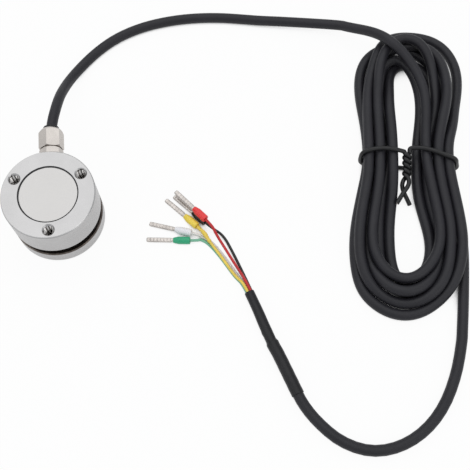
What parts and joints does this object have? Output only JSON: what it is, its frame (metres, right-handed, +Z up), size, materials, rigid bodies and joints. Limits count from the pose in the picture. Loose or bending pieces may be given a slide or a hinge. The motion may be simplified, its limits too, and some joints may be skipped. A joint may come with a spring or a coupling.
{
  "type": "pancake load cell",
  "caption": "Low round steel force sensor with a deep groove between its base flange and tapped load ring, a side cable gland and a coiled signal lead ending in crimped wires.",
  "frame": {"origin": "centre of the base face of the steel body", "axes": "+Z up through the load ring, +Y along the cable gland, +X to the right of the gland seen from above with the gland pointing away"},
  "size_m": [0.1701, 0.1765, 0.0225],
  "materials": {
    "body_steel": "fine turned stainless steel, satin",
    "cover_steel": "bead-blasted stainless steel, pale satin",
    "gland_nickel": "nickel-plated brass, slightly warm, soft gloss",
    "seal_rubber": "black nitrile rubber, matte",
    "gauge_film": "amber polyimide film with tinned tabs",
    "lead_copper": "enamelled copper wire",
    "board_laminate": "green solder mask over glass laminate",
    "chip_resistor": "black glazed chip with tinned end caps",
    "cable_jacket": "charcoal PVC jacket, matte with a soft sheen",
    "heat_shrink": "black polyolefin heat-shrink, smoother than the jacket",
    "tie_plastic": "black plastic over steel wire",
    "pin_tin": "tinned copper, satin, crimped",
    "insulation_black": "black PVC insulation",
    "insulation_red": "red PVC insulation",
    "insulation_yellow": "yellow PVC insulation",
    "insulation_green": "green PVC insulation",
    "insulation_white": "white PVC insulation",
    "collar_black": "black polypropylene collar",
    "collar_red": "red polypropylene collar",
    "collar_yellow": "yellow polypropylene collar",
    "collar_green": "green polypropylene collar",
    "collar_white": "white polypropylene collar"
  },
  "bodies": {
    "root": {"bridge_leads": "lead_copper", "cable_coil": "cable_jacket", "cable_lead": "cable_jacket", "cable_tail": "cable_jacket", "core_black": "insulation_black", "core_green": "insulation_green", "core_red": "insulation_red", "core_white": "insulation_white", "cover_disc": "cover_steel", "ferrule_collar_black": "collar_black", "ferrule_collar_green": "collar_green", "ferrule_collar_red": "collar_red", "ferrule_collar_white": "collar_white", "ferrule_collar_yellow": "collar_yellow", "ferrule_pin_black": "pin_tin", "ferrule_pin_green": "pin_tin", "ferrule_pin_red": "pin_tin", "ferrule_pin_white": "pin_tin", "ferrule_pin_yellow": "pin_tin", "gland_body": "gland_nickel", "gland_grommet": "seal_rubber", "gland_nut": "gland_nickel", "gland_seal_ring": "seal_rubber", "heat_shrink_sleeve": "heat_shrink", "sensing_body": "body_steel", "strain_gauge_1": "gauge_film", "strain_gauge_2": "gauge_film", "strain_gauge_3": "gauge_film", "strain_gauge_4": "gauge_film", "terminal_board": "board_laminate", "trim_resistor_1": "chip_resistor", "trim_resistor_2": "chip_resistor", "twist_tie": "tie_plastic", "wire_black": "insulation_black", "wire_green": "insulation_green", "wire_red": "insulation_red", "wire_white": "insulation_white", "wire_yellow": "insulation_yellow"}
  },
  "joints": []
}
